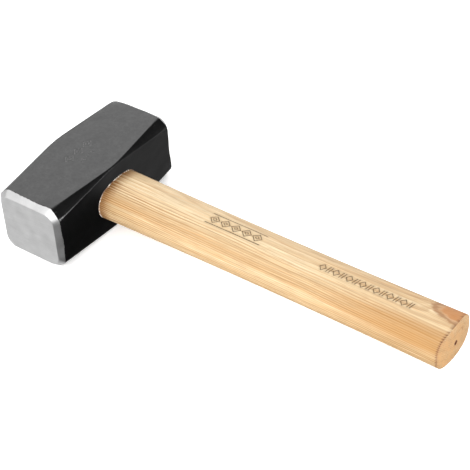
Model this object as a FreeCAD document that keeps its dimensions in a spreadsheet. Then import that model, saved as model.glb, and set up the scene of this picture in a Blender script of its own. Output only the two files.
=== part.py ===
import FreeCAD, Part
import math
import os

import Sketcher

# A lump hammer: a forged steel head on an oval hickory handle, wedged in the head's eye.
# It lies on one cheek. +X runs along the handle from the eye to the butt, +Y along the head
# from one striking face to the other, and +Z is up. The origin is on the lower cheek, under
# the middle of the eye, and every body is drawn about the handle's axis and then lifted by
# half the head's height.

SIZES = {
    # the forged head: a nearly square bar, with each corner planed off towards the two ends
    "head_length": 101.4,
    "head_width": 43.0,
    "head_height": 41.0,
    "corner_facet": 5.7,
    "edge_break": 0.6,
    "full_bar_length": 7.4,
    "face_chamfer_depth": 3.3,
    "face_chamfer_inset": 2.85,
    # the eye: oval, and narrower in its middle than at its two mouths
    "eye_mouth_width": 33.2,
    "eye_mouth_height": 22.0,
    "eye_draft": 1.0,
    # the handle, outside the head
    "handle_length": 260.0,
    "tenon_proud": 1.0,
    "shoulder_step": 0.3,
    "grip_middle_width": 31.6,
    "grip_middle_height": 22.5,
    "grip_middle_place": 0.5,
    "butt_width": 32.5,
    "butt_height": 22.0,
    "butt_dome_radius": 88.0,
    "centre_hole_diameter": 2.2,
    "centre_hole_depth": 4.0,
    # how full the ovals are: corner radius and end flat, each as a share of half the height
    "oval_corner": 0.89,
    "oval_flat": 0.03,
    "butt_corner": 0.8,
    "butt_flat": 0.145,
    # the wooden wedge, driven along the eye's long way
    "wood_wedge_length": 28.0,
    "wood_wedge_thick": 4.4,
    "wood_wedge_tip": 1.4,
    "kerf_relief": 1.0,
    # the two steel wedges, driven across the wooden one
    "steel_wedge_length": 20.0,
    "steel_wedge_width": 15.0,
    "steel_wedge_thick": 3.2,
    "steel_wedge_tip": 0.8,
    "steel_wedge_spacing": 14.0,
    "barb_height": 0.35,
}
BARBS = 4
STEEL_WEDGES = 2

doc = FreeCAD.newDocument("lump_hammer")
sheet = doc.addObject("Spreadsheet::Sheet", "Sizes")
for row, (name, size) in enumerate(SIZES.items(), start=1):
    sheet.set(f"A{row}", name)
    sheet.set(f"B{row}", str(size))
    sheet.setAlias(f"B{row}", name)
doc.recompute()

# places along the handle's axis, as expressions of the sheet
HEAD_FRONT = "Sizes.head_width / 2"
HEAD_BACK = "-Sizes.head_width / 2"
TENON_END = "-Sizes.head_width / 2 - Sizes.tenon_proud"
BUTT_END = "Sizes.handle_length - Sizes.head_width / 2 - Sizes.tenon_proud"
GRIP_MIDDLE = f"{HEAD_FRONT} + Sizes.grip_middle_place * ({BUTT_END} - {HEAD_FRONT})"


def number(expression):
    """What an expression of the sheet comes to."""
    return float(sheet.evalExpression(expression))


# ---- bodies and sketches ----

def new_body(name):
    """A body lifted so that the hammer's lower cheek is at Z = 0."""
    body = doc.addObject("PartDesign::Body", name)
    body.Label = name
    body.setExpression("Placement.Base.z", "Sizes.head_height / 2")
    return body


def new_sketch(body, name, plane, offset="0", shift="0"):
    """A sketch on one of the body's own planes, moved off it by offset and within it by shift."""
    sketch = body.newObject("Sketcher::SketchObject", name)
    origin_plane = next(item for item in body.Origin.OriginFeatures if item.Role == plane)
    sketch.AttachmentSupport = [(origin_plane, "")]
    sketch.MapMode = "FlatFace"
    sketch.setExpression("AttachmentOffset.Base.z", offset)
    sketch.setExpression("AttachmentOffset.Base.y", shift)
    return sketch


def tie(sketch, kind, *where, size):
    """A driving constraint whose value follows the sheet."""
    index = sketch.addConstraint(Sketcher.Constraint(kind, *where, number(size)))
    sketch.setExpression(f"Constraints[{index}]", size)


def place(sketch, edge, point, across, along):
    """Fixes one point of an edge by its two distances from the sketch's origin."""
    tie(sketch, "DistanceX", -1, 1, edge, point, size=across)
    tie(sketch, "DistanceY", -1, 1, edge, point, size=along)


def draw_polygon(sketch, corners):
    """A closed outline of straight edges; each corner is a pair of expressions."""
    points = [FreeCAD.Vector(number(across), number(along), 0) for across, along in corners]
    count = len(points)
    for k in range(count):
        sketch.addGeometry(Part.LineSegment(points[k], points[(k + 1) % count]))
    for k, (across, along) in enumerate(corners):
        sketch.addConstraint(Sketcher.Constraint("Coincident", k, 2, (k + 1) % count, 1))
        place(sketch, k, 1, across, along)


def draw_octagon(sketch, facet, inset):
    """The head's section with its corners cut at 45 degrees and all eight sides moved in by inset."""
    side = f"(Sizes.head_width / 2 - {inset})"
    top = f"(Sizes.head_height / 2 - {inset})"
    side_end = f"({side} - {facet} + (2 - sqrt(2)) * {inset})"
    top_end = f"({top} - {facet} + (2 - sqrt(2)) * {inset})"
    draw_polygon(sketch, [
        (side, f"-{top_end}"),
        (side, top_end),
        (side_end, top),
        (f"-{side_end}", top),
        (f"-{side}", top_end),
        (f"-{side}", f"-{top_end}"),
        (f"-{side_end}", f"-{top}"),
        (side_end, f"-{top}"),
    ])


def draw_oval(sketch, half_width, half_height, corner_share, flat_share):
    """An oval with crowned flanks, round corners and short flat ends, all tangent."""
    corner = f"{corner_share} * ({half_height})"
    flat = f"{flat_share} * ({half_height})"
    reach = f"({half_width} - {corner})"
    rise = f"({half_height} - {flat})"
    crown = f"({reach} ^ 2 + {rise} ^ 2 - ({corner}) ^ 2) / (2 * ({rise} - {corner}))"
    a, b, r, q, big = (number(item) for item in (half_width, half_height, corner, flat, crown))
    lean = math.atan2(q + big - b, a - r)
    up = FreeCAD.Vector(0, 0, 1)

    def arc(x, y, radius, start, end):
        sketch.addGeometry(Part.ArcOfCircle(Part.Circle(FreeCAD.Vector(x, y, 0), up, radius), start, end))

    def flat_end(x, y):
        sketch.addGeometry(Part.LineSegment(FreeCAD.Vector(x, y, 0), FreeCAD.Vector(x, -y, 0)))

    flat_end(a, -q)
    arc(a - r, q, r, 0, lean)
    arc(0, b - big, big, lean, math.pi - lean)
    arc(r - a, q, r, math.pi - lean, math.pi)
    flat_end(-a, q)
    arc(r - a, -q, r, math.pi, math.pi + lean)
    arc(0, big - b, big, math.pi + lean, 2 * math.pi - lean)
    arc(a - r, -q, r, 2 * math.pi - lean, 2 * math.pi)
    for k in range(8):
        sketch.addConstraint(Sketcher.Constraint("Tangent", k, 2, (k + 1) % 8, 1))
    for edge, side, level in ((1, 1, 1), (3, -1, 1), (5, -1, -1), (7, 1, -1)):
        place(sketch, edge, 3, f"{side} * {reach}", f"{level} * {flat}")
        tie(sketch, "Radius", edge, size=corner)
    for edge in (2, 6):
        tie(sketch, "Radius", edge, size=crown)


def finish_feature(body, feature, cuts):
    """Recomputes the body and makes sure that the feature really cut or added material."""
    before = 0 if body.Shape.isNull() else body.Shape.Volume
    doc.recompute()
    change = body.Shape.Volume - before
    if cuts and change > -0.1 or not cuts and change < 0.1:
        raise RuntimeError(f"{feature.Label} changed {body.Label} by {change:.3f} mm3")


def loft(body, kind, name, sketches, ruled):
    """A loft through the sketches, in order."""
    feature = body.newObject(f"PartDesign::{kind}", name)
    feature.Profile = sketches[0]
    feature.Sections = sketches[1:]
    feature.Ruled = ruled
    finish_feature(body, feature, kind == "SubtractiveLoft")


def extrude_both_ways(body, kind, name, sketch, width):
    """A pad or a pocket of that whole width, half to each side of its sketch."""
    feature = body.newObject(f"PartDesign::{kind}", name)
    feature.Profile = sketch
    feature.SideType = "Symmetric"
    feature.setExpression("Length", width)
    finish_feature(body, feature, kind == "Pocket")


# ---- the eye, and the tenon that fills it ----

def eye_sections(body, name, stations):
    """Ovals across the handle's axis; each station is a place and how far the eye draws in there."""
    sketches = []
    for k, (station, draft) in enumerate(stations):
        sketch = new_sketch(body, f"{name}_{k}", "YZ_Plane", station)
        draw_oval(sketch, f"Sizes.eye_mouth_width / 2 - {draft}", f"Sizes.eye_mouth_height / 2 - {draft}",
                  "Sizes.oval_corner", "Sizes.oval_flat")
        sketches.append(sketch)
    return sketches


EYE_STATIONS = [(HEAD_BACK, "0"), ("0", "Sizes.eye_draft"), (HEAD_FRONT, "0")]
TENON_STATIONS = [(TENON_END, "0")] + EYE_STATIONS

WEDGE_TIP = f"{TENON_END} + Sizes.wood_wedge_length"
WEDGE_HALF = "Sizes.wood_wedge_thick / 2"
TIP_HALF = "Sizes.wood_wedge_tip / 2"
CLEAR_OF_EYE = "Sizes.eye_mouth_height"
THROUGH_EYE = "2 * Sizes.eye_mouth_width"


def steel_wedge_sketch(body, name, wedge):
    """A steel wedge's outline, seen along its width: a taper whose flanks step out in barbs."""
    place_across = f"({wedge} - ({STEEL_WEDGES} - 1) / 2) * Sizes.steel_wedge_spacing"
    sketch = new_sketch(body, name, "XY_Plane", shift=place_across)
    flank = []
    for step in range(BARBS + 1):
        share = step / BARBS
        along = f"{TENON_END} + {share} * Sizes.steel_wedge_length"
        line = (f"Sizes.steel_wedge_thick / 2"
                f" - {share} * (Sizes.steel_wedge_thick - Sizes.steel_wedge_tip) / 2")
        if step > 0:
            flank.append((along, line))
        if step < BARBS:
            flank.append((along, f"{line} + Sizes.barb_height"))
    outline = flank + [(along, f"-({line})") for along, line in reversed(flank)]
    draw_polygon(sketch, outline)
    return sketch


def cut_steel_wedge_slots(body):
    """The slots that the steel wedges have pressed into the wood."""
    for k in range(STEEL_WEDGES):
        sketch = steel_wedge_sketch(body, f"{body.Label}_slot_{k + 1}_outline", k)
        extrude_both_ways(body, "Pocket", f"{body.Label}_slot_{k + 1}", sketch, "Sizes.steel_wedge_width")


# ---- the head ----

def make_head():
    """The forged bar with its corner facets, its ground striking faces and its eye."""
    body = new_body("head")
    half_full = "Sizes.full_bar_length / 2"
    face = "Sizes.head_length / 2"
    chamfer_line = f"({face} - Sizes.face_chamfer_depth)"
    stations = [
        (f"-{face}", "Sizes.corner_facet", "Sizes.face_chamfer_inset"),
        (f"-{chamfer_line}", "Sizes.corner_facet", "0"),
        (f"-{half_full}", "Sizes.edge_break", "0"),
        (half_full, "Sizes.edge_break", "0"),
        (chamfer_line, "Sizes.corner_facet", "0"),
        (face, "Sizes.corner_facet", "Sizes.face_chamfer_inset"),
    ]
    sections = []
    for k, (station, facet, inset) in enumerate(stations):
        sketch = new_sketch(body, f"bar_section_{k}", "XZ_Plane", station)
        draw_octagon(sketch, facet, inset)
        sections.append(sketch)
    loft(body, "AdditiveLoft", "forged_bar", sections, ruled=True)
    loft(body, "SubtractiveLoft", "eye", eye_sections(body, "eye_section", EYE_STATIONS), ruled=True)
    return body


# ---- the handle ----

def make_handle():
    """The oval handle: tenon, grip, domed butt, and the cuts that the wedges sit in."""
    body = new_body("handle")
    loft(body, "AdditiveLoft", "tenon", eye_sections(body, "tenon_section", TENON_STATIONS), ruled=True)

    grip = []
    for k, (station, width, height, corner, flat) in enumerate((
            (HEAD_FRONT, "Sizes.eye_mouth_width / 2 + Sizes.shoulder_step",
             "Sizes.eye_mouth_height / 2 + Sizes.shoulder_step", "Sizes.oval_corner", "Sizes.oval_flat"),
            (GRIP_MIDDLE, "Sizes.grip_middle_width / 2", "Sizes.grip_middle_height / 2",
             "Sizes.oval_corner", "Sizes.oval_flat"),
            (BUTT_END, "Sizes.butt_width / 2", "Sizes.butt_height / 2",
             "Sizes.butt_corner", "Sizes.butt_flat"))):
        sketch = new_sketch(body, f"grip_section_{k}", "YZ_Plane", station)
        draw_oval(sketch, width, height, corner, flat)
        grip.append(sketch)
    loft(body, "AdditiveLoft", "grip", grip, ruled=False)

    dome_butt(body)

    hole = new_sketch(body, "centre_hole_outline", "YZ_Plane", BUTT_END)
    hole_radius = number("Sizes.centre_hole_diameter / 2")
    hole.addGeometry(Part.Circle(FreeCAD.Vector(0, 0, 0), FreeCAD.Vector(0, 0, 1), hole_radius))
    hole.addConstraint(Sketcher.Constraint("Coincident", 0, 3, -1, 1))
    tie(hole, "Diameter", 0, size="Sizes.centre_hole_diameter")
    extrude_both_ways(body, "Pocket", "centre_hole", hole, "2 * Sizes.centre_hole_depth")

    kerf = new_sketch(body, "kerf_outline", "XZ_Plane")
    draw_polygon(kerf, [
        (TENON_END, WEDGE_HALF),
        (TENON_END, f"-{WEDGE_HALF}"),
        (WEDGE_TIP, f"-{TIP_HALF}"),
        (f"{WEDGE_TIP} + Sizes.kerf_relief", f"-{TIP_HALF}"),
        (f"{WEDGE_TIP} + Sizes.kerf_relief", TIP_HALF),
        (WEDGE_TIP, TIP_HALF),
    ])
    extrude_both_ways(body, "Pocket", "kerf", kerf, THROUGH_EYE)
    cut_steel_wedge_slots(body)
    return body


def dome_butt(body):
    """Turns the butt's end to a shallow dome by cutting away what lies outside a sphere."""
    rim = "Sizes.butt_width"
    clear = f"{BUTT_END} + Sizes.butt_width"
    radius = number("Sizes.butt_dome_radius")
    apex = number(BUTT_END)
    rim_height = number(rim)
    clear_place = number(clear)
    rim_place = apex - radius + math.sqrt(radius ** 2 - rim_height ** 2)
    sketch = new_sketch(body, "dome_outline", "XZ_Plane")
    circle = Part.Circle(FreeCAD.Vector(apex - radius, 0, 0), FreeCAD.Vector(0, 0, 1), radius)
    sketch.addGeometry(Part.ArcOfCircle(circle, 0, math.asin(rim_height / radius)))
    corners = [
        FreeCAD.Vector(rim_place, rim_height, 0),
        FreeCAD.Vector(clear_place, rim_height, 0),
        FreeCAD.Vector(clear_place, 0, 0),
        FreeCAD.Vector(apex, 0, 0),
    ]
    for start, end in zip(corners, corners[1:]):
        sketch.addGeometry(Part.LineSegment(start, end))
    for k in (1, 2):
        sketch.addConstraint(Sketcher.Constraint("Coincident", k, 2, k + 1, 1))
    sketch.addConstraint(Sketcher.Constraint("Coincident", 0, 2, 1, 1))
    sketch.addConstraint(Sketcher.Constraint("Coincident", 0, 1, 3, 2))
    sketch.addConstraint(Sketcher.Constraint("PointOnObject", 0, 3, -1))
    sketch.addConstraint(Sketcher.Constraint("PointOnObject", 0, 1, -1))
    sketch.addConstraint(Sketcher.Constraint("Horizontal", 1))
    tie(sketch, "Radius", 0, size="Sizes.butt_dome_radius")
    tie(sketch, "DistanceX", -1, 1, 0, 1, size=BUTT_END)
    place(sketch, 1, 2, clear, rim)
    place(sketch, 3, 1, clear, "0")
    groove = body.newObject("PartDesign::Groove", "butt_dome")
    groove.Profile = sketch
    groove.ReferenceAxis = (sketch, ["H_Axis"])
    groove.Angle = 360
    finish_feature(body, groove, cuts=True)


# ---- the wedges ----

def make_wooden_wedge():
    """A slice of the tenon's own outline, tapered in height, so that its ends follow the eye."""
    body = new_body("wooden_wedge")
    loft(body, "AdditiveLoft", "blank", eye_sections(body, "blank_section", TENON_STATIONS), ruled=True)
    beyond = f"{HEAD_FRONT} + Sizes.head_width"
    trim = new_sketch(body, "trim_outline", "XZ_Plane")
    draw_polygon(trim, [
        (TENON_END, WEDGE_HALF),
        (WEDGE_TIP, TIP_HALF),
        (WEDGE_TIP, f"-{TIP_HALF}"),
        (TENON_END, f"-{WEDGE_HALF}"),
        (TENON_END, f"-{CLEAR_OF_EYE}"),
        (beyond, f"-{CLEAR_OF_EYE}"),
        (beyond, CLEAR_OF_EYE),
        (TENON_END, CLEAR_OF_EYE),
    ])
    extrude_both_ways(body, "Pocket", "trim", trim, THROUGH_EYE)
    cut_steel_wedge_slots(body)
    return body


def make_steel_wedge(k):
    """One of the barbed steel wedges."""
    body = new_body(f"steel_wedge_{k + 1}")
    sketch = steel_wedge_sketch(body, f"steel_wedge_{k + 1}_outline", k)
    extrude_both_ways(body, "Pad", f"steel_wedge_{k + 1}_pad", sketch, "Sizes.steel_wedge_width")
    return body


pieces = [make_head(), make_handle(), make_wooden_wedge()]
pieces += [make_steel_wedge(k) for k in range(STEEL_WEDGES)]
doc.recompute()

for item in doc.Objects:
    if "Invalid" in item.State or "Error" in item.State:
        raise RuntimeError(f"{item.Label} failed: {item.State}")

os.makedirs("parts", exist_ok=True)
for body in pieces:
    shape = body.Shape
    if shape.isNull() or not shape.isValid() or len(shape.Solids) != 1:
        raise RuntimeError(f"{body.Label} is not one valid solid")
    shape.exportStep(f"parts/{body.Label}.step")
    box = shape.optimalBoundingBox()
    print(f"{body.Label}: {shape.Volume / 1000:.2f} cm3, X {box.XMin:.2f} to {box.XMax:.2f},"
          f" Y {box.YMin:.2f} to {box.YMax:.2f}, Z {box.ZMin:.2f} to {box.ZMax:.2f}")
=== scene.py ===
# %% [markdown]
# # A lump hammer, lying on a pale floor
# The hammer is a black lacquered forging with two bright ground striking faces, on an oval
# hickory handle that is wedged in the head's eye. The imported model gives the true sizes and
# places. This lesson builds a finer skin for the head and the handle in the same frame, gives
# every piece a procedural finish, and lights it like a small studio table.

# %% Load the fixed frame
import math

import bmesh
import bpy
import numpy as np
from mathutils import Matrix, Vector, noise


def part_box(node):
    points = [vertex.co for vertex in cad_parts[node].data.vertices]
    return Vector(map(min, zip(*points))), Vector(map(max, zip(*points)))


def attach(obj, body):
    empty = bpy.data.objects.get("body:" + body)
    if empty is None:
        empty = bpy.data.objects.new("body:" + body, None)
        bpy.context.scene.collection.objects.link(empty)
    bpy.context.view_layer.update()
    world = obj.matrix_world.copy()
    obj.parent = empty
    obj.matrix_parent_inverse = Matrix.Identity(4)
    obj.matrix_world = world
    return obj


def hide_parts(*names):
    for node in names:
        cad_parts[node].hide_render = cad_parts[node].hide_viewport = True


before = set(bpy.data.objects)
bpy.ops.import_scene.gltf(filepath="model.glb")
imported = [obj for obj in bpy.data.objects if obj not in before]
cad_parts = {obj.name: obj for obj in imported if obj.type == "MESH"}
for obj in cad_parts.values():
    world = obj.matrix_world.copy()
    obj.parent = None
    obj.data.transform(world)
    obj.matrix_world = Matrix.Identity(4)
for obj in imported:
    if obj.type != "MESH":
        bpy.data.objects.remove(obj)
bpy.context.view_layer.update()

MM = 0.001
BODY = "root"
print("nodes:", sorted(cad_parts))

# %% [markdown]
# ## Sizes come from the frame
# The head's box gives its three half sizes and the height of the handle's axis. The handle's
# box gives the two ends of the wood. Working in millimetres about that axis keeps the numbers
# readable, so a helper lifts every finished point back to the row frame at the end.

# %% Read the sizes of the head and the handle
head_low, head_high = (np.array(corner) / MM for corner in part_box("head"))
handle_low, handle_high = (np.array(corner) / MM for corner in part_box("handle"))
HALF_WIDTH, HALF_LENGTH, HALF_HEIGHT = (head_high - head_low) / 2
AXIS_HEIGHT = (head_high[2] + head_low[2]) / 2
TENON_END = handle_low[0]
BUTT_END = handle_high[0] + 0.01
print(f"head {2 * HALF_WIDTH:.1f} x {2 * HALF_LENGTH:.1f} x {2 * HALF_HEIGHT:.1f} mm,"
      f" handle from {TENON_END:.1f} to {BUTT_END:.1f} mm")

# %% [markdown]
# ## Skins made of rings
# A forged bar and a turned handle are both long shapes whose section changes slowly, so each
# can be drawn as a stack of rings with the same number of points. Joining neighbouring rings
# with four-sided faces gives an even skin that shades smoothly. A primitive with modifiers
# would be quicker, but it could not follow sections that change all the way.
#
# Holes are cut afterwards with the exact boolean. A cut can leave hair-thin slivers where a
# cutter just grazes an edge, so each cut ends with a weld and a count of the open edges: a
# count of 0 says that the mesh is closed.

# %% Helpers for rings and pieces
def join_rings(shape, rings):
    """Adds rings of points (in mm about the handle's axis) to a bmesh and joins each to the next."""
    lift = np.array([0, 0, AXIS_HEIGHT])
    made = [[shape.verts.new((point + lift) * MM) for point in ring] for ring in rings]
    for one, other in zip(made, made[1:]):
        for k in range(len(one)):
            following = (k + 1) % len(one)
            shape.faces.new((one[k], one[following], other[following], other[k]))
    return made


def new_piece(name, shape):
    """Turns a bmesh into an object whose faces look outwards."""
    bmesh.ops.recalc_face_normals(shape, faces=shape.faces)
    mesh = bpy.data.meshes.new(name)
    shape.to_mesh(mesh)
    shape.free()
    piece = bpy.data.objects.new(name, mesh)
    bpy.context.scene.collection.objects.link(piece)
    return piece


WELD = 0.002 * MM
CUTTER_WELD = 0.001 * MM


def clean_cut(mesh):
    """Welds the slivers a cut leaves and closes the pinholes beside them."""
    shape = bmesh.new()
    shape.from_mesh(mesh)
    bmesh.ops.remove_doubles(shape, verts=shape.verts, dist=WELD)
    bmesh.ops.dissolve_degenerate(shape, edges=shape.edges, dist=WELD)
    pinholes = [edge for edge in shape.edges if edge.is_boundary]
    bmesh.ops.holes_fill(shape, edges=pinholes, sides=0)
    open_edges = sum(not edge.is_manifold for edge in shape.edges)
    shape.to_mesh(mesh)
    shape.free()
    print(f"after the cut: {len(mesh.polygons)} faces, {open_edges} open edges")


def cut_with(piece, cutters):
    """Cuts other objects' shapes out of a piece for good."""
    for cutter in cutters:
        modifier = piece.modifiers.new("cut", "BOOLEAN")
        modifier.operation = "DIFFERENCE"
        modifier.solver = "EXACT"
        modifier.object = cutter
        modifier.material_mode = "TRANSFER"
    bpy.context.view_layer.update()
    graph = bpy.context.evaluated_depsgraph_get()
    finished = bpy.data.meshes.new_from_object(piece.evaluated_get(graph))
    piece.modifiers.clear()
    clean_cut(finished)
    old = piece.data
    piece.data = finished
    bpy.data.meshes.remove(old)
    finished.name = piece.name


def welded_copy(node):
    """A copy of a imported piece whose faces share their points, as a cutter needs."""
    shape = bmesh.new()
    shape.from_mesh(node.data)
    bmesh.ops.remove_doubles(shape, verts=shape.verts, dist=CUTTER_WELD)
    return new_piece(node.name + "_cutter", shape)


def discard(piece):
    """Removes a tool object that has done its cut."""
    bpy.data.objects.remove(piece)


def smooth_below(piece, degrees):
    """Shades a piece smooth, with a hard line wherever two faces meet at a sharper angle."""
    piece.data.shade_smooth()
    piece.data.set_sharp_from_angle(angle=math.radians(degrees))


# %% [markdown]
# ## The forged head
# The head starts as a nearly square bar. Its four long corners are planed off by facets that
# begin near the middle and widen towards the two faces. Each facet is crowned a little, and the
# forging dies leave its edges fine but not sharp. So each ring is an octagon whose facets bulge
# and whose corners are rounded, and a few numbers describe it: how far its sides are moved in,
# how long the facet is, and how round each kind of corner is.

# %% One section of the bar
ARC_STEPS = 6
SIDE_STEPS = 22
FACET_STEPS = 2
SUPPORT, MOST_SUPPORT = 0.12, 0.3
FACET_CROWN = 0.045
CROWN_ROUNDING = 0.85


def spread(start, end, steps):
    """Points strictly between two ends, with one close to each end to hold the rounded corner."""
    span = end - start
    close = min(SUPPORT / max(np.linalg.norm(span), 1e-6), MOST_SUPPORT)
    shares = np.concatenate([[close], np.linspace(0, 1, steps + 1)[1:-1], [1 - close]])
    return [start + share * span for share in np.sort(shares)]


def turn_at(before, corner, after):
    """The directions into and out of a corner, and the angle it turns."""
    arriving = (corner - before) / np.linalg.norm(corner - before)
    leaving = (after - corner) / np.linalg.norm(after - corner)
    return arriving, leaving, math.acos(min(max(arriving @ leaving, -1.0), 1.0))


def forged_section(half_width, half_height, leg, side_radius, cheek_radius, most):
    """The bar's section as points (across, up), anticlockwise: sides, cheeks and crowned facets.

    No corner is rounded over more than the share called most of half a facet.
    """
    w, h = half_width, half_height
    bulge = FACET_CROWN * leg
    upper = [(w, h - leg), (w - leg / 2 + bulge, h - leg / 2 + bulge), (w - leg, h)]
    corners = upper + [(-x, y) for x, y in upper[::-1]]
    corners = np.array(corners + [(-x, -y) for x, y in corners])
    count = len(corners)
    half_facet = np.linalg.norm(corners[1] - corners[0])
    turns = [turn_at(corners[k - 1], corners[k], corners[(k + 1) % count]) for k in range(count)]
    radii = (side_radius, 0.0, cheek_radius, cheek_radius, 0.0, side_radius) * 2
    tangents = [min(radius * math.tan(turn / 2), most * half_facet)
                for radius, (arriving, leaving, turn) in zip(radii, turns)]
    for k in range(1, count, 3):
        tangents[k] = CROWN_ROUNDING * (half_facet - max(tangents[k - 1], tangents[k + 1]))
    points = []
    for k, (arriving, leaving, turn) in enumerate(turns):
        radius = tangents[k] / math.tan(turn / 2)
        inward = np.array([-arriving[1], arriving[0]])
        centre = corners[k] - tangents[k] * arriving + radius * inward
        for t in np.linspace(0, turn, ARC_STEPS + 1):
            points.append(centre + radius * (math.sin(t) * arriving - math.cos(t) * inward))
        start = corners[k] + tangents[k] * leaving
        following = (k + 1) % count
        end = corners[following] - tangents[following] * leaving
        points += spread(start, end, SIDE_STEPS if k % 3 == 2 else FACET_STEPS)
    return np.array(points)


# %% [markdown]
# The facets' length and the roundness follow the distance from the middle: the facets widen at
# an even rate, and the corners only grow round close to the faces. One function turns a place
# along the head into a ring, so the whole forging is described in a few lines.

# %% A ring of the head
FULL_BAR_HALF = 3.7
EDGE_BREAK = 0.6
FACET = 5.7
CHAMFER_DEPTH = 3.3
CHAMFER_INSET = 2.85
FACE_CROWN = 0.16
CHEEK_EDGE = (0.5, 4.2)
SIDE_EDGE = (0.6, 5.0)
EDGE_GROWTH = 9
FACE_CORNER_RADIUS = 6.4
MOST_ROUNDED, MOST_GROUND = 0.6, 0.35
CHAMFER_LINE = HALF_LENGTH - CHAMFER_DEPTH
DIAGONAL_SHARE = 2 - math.sqrt(2)
FACET_START_SOFTNESS = 0.045


def head_ring(along, inset):
    """The ring at a distance along the head, with its sides moved in by inset."""
    reach = (abs(along) - FULL_BAR_HALF) / (CHAMFER_LINE - FULL_BAR_HALF)
    ramp = FACET_START_SOFTNESS * math.log1p(math.exp(min(reach / FACET_START_SOFTNESS, 60)))
    leg = EDGE_BREAK + (FACET - EDGE_BREAK) * min(ramp, 1)
    ground_in = inset / CHAMFER_INSET
    radii = []
    for middle, end in (SIDE_EDGE, CHEEK_EDGE):
        forged = middle + (end - middle) * min(max(reach, 0), 1) ** EDGE_GROWTH
        radii.append(forged + (FACE_CORNER_RADIUS - end) * ground_in)
    leg -= DIAGONAL_SHARE * inset
    most = MOST_ROUNDED + MOST_GROUND * ground_in
    section = forged_section(HALF_WIDTH - inset, HALF_HEIGHT - inset, leg, *radii, most)
    return np.column_stack([section[:, 0], np.full(len(section), along), section[:, 1]])


# %% [markdown]
# A chamfer is ground round each face after the lacquer, so its two edges are crisp. The wheel is
# held by hand, so the line where the lacquer stops wanders a little. Only the distance along the
# head changes from ring to ring here; the rings come from the function above. The face itself is
# dressed very slightly crowned, as hammer faces are.

# %% From the middle to the face
PAINT_LINE_SOFTNESS, FACE_LINE_SOFTNESS = 0.3, 0.22
FACE_SHARES = (0.985, 0.92, 0.8, 0.66, 0.52, 0.38, 0.24, 0.1)
SLOW_WANDER, QUICK_WANDER, MOST_WANDER = 0.75, 0.12, 0.45


def softened(corner, before, after, size, steps=4):
    """A short curve that replaces a sharp corner of the ground profile."""
    corner, before, after = (np.array(p, float) for p in (corner, before, after))
    start = corner + size * (before - corner) / np.linalg.norm(before - corner)
    end = corner + size * (after - corner) / np.linalg.norm(after - corner)
    shares = np.linspace(0, 1, steps + 1)
    return [(1 - t) ** 2 * start + 2 * t * (1 - t) * corner + t * t * end for t in shares]


def paint_wander(across, up):
    """How far the wheel wandered while it ground the chamfer, at a point of the section."""
    slow = noise.noise(Vector((across * 0.11, up * 0.11, 5.1)))
    quick = noise.noise(Vector((across * 0.5, up * 0.5, 1.7)))
    return max(min(SLOW_WANDER * slow + QUICK_WANDER * quick, MOST_WANDER), -MOST_WANDER)


face_edge = HALF_LENGTH - FACE_CROWN
side_profile = [(place, 0.0) for place in np.linspace(0, CHAMFER_LINE - 1.2, 44)]
paint_line = softened((CHAMFER_LINE, 0), (0, 0), (face_edge, CHAMFER_INSET), PAINT_LINE_SOFTNESS)
ground_band = [((1 - t) * CHAMFER_LINE + t * face_edge, t * CHAMFER_INSET) for t in (0.25, 0.5, 0.75)]
face_line = softened((face_edge, CHAMFER_INSET), (CHAMFER_LINE, 0), (face_edge, 9), FACE_LINE_SOFTNESS)
half_profile = side_profile + paint_line + ground_band + face_line
rings = [head_ring(along, inset) for along, inset in half_profile]
for ring, (along, inset) in zip(rings, half_profile):
    if along > CHAMFER_LINE - 1:
        wander = np.array([paint_wander(x, z) for x, y, z in ring])
        ring[:, 1] += wander * (1 - inset / CHAMFER_INSET)
outline = rings[-1].copy()
for share in FACE_SHARES:
    ring = outline * share
    ring[:, 1] = HALF_LENGTH - FACE_CROWN * share ** 2
    rings.append(ring)
mirrored = [ring * [1, -1, 1] for ring in rings[:0:-1]]
print(f"{len(rings)} rings from the middle to the face")

# %% [markdown]
# The other half is the same rings mirrored. No forging is quite even, though: the rear corner on
# the side away from the handle came out of the die softer than the rest. So on that end alone
# the points near that corner sink in, and the closer to the face, the more.

# %% Soften one corner and join the head
SOFT_CORNER = (1.3, -1.0)
SOFT_CORNER_START, SOFT_CORNER_REACH = 40.0, 3.2
for ring, (along, inset) in zip(rings, half_profile):
    if along > SOFT_CORNER_START:
        grown = ((along - SOFT_CORNER_START) / (HALF_LENGTH - SOFT_CORNER_START)) ** 2
        corner = np.array([-HALF_WIDTH + FACET, HALF_HEIGHT - inset])
        gaps = np.linalg.norm(ring[:, [0, 2]] - corner, axis=1)
        ring[:, [0, 2]] += np.outer(grown * np.exp(-(gaps / SOFT_CORNER_REACH) ** 2), SOFT_CORNER)
shape = bmesh.new()
made = join_rings(shape, mirrored + rings)
shape.faces.new(made[0])
shape.faces.new(made[-1])
head = new_piece("forged_head", shape)
print(f"head skin: {len(head.data.polygons)} faces, {len(half_profile)} rings from middle to face")

# %% [markdown]
# ## The eye
# The eye is an oval hole through the head, narrower in its middle than at its two mouths, so
# that the wedged tenon can't slip either way. Its outline is made of tangent arcs: crowned
# flanks, round corners and short flat ends. The same oval describes the handle, so it is
# written once. Here only the cutter for the eye is built: a plug that widens towards both
# mouths and flares at their rounded lips. It waits until the stamp's cutter is ready too.

# %% The oval outline
CORNER_STEPS, CROWN_STEPS = 20, 28


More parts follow.
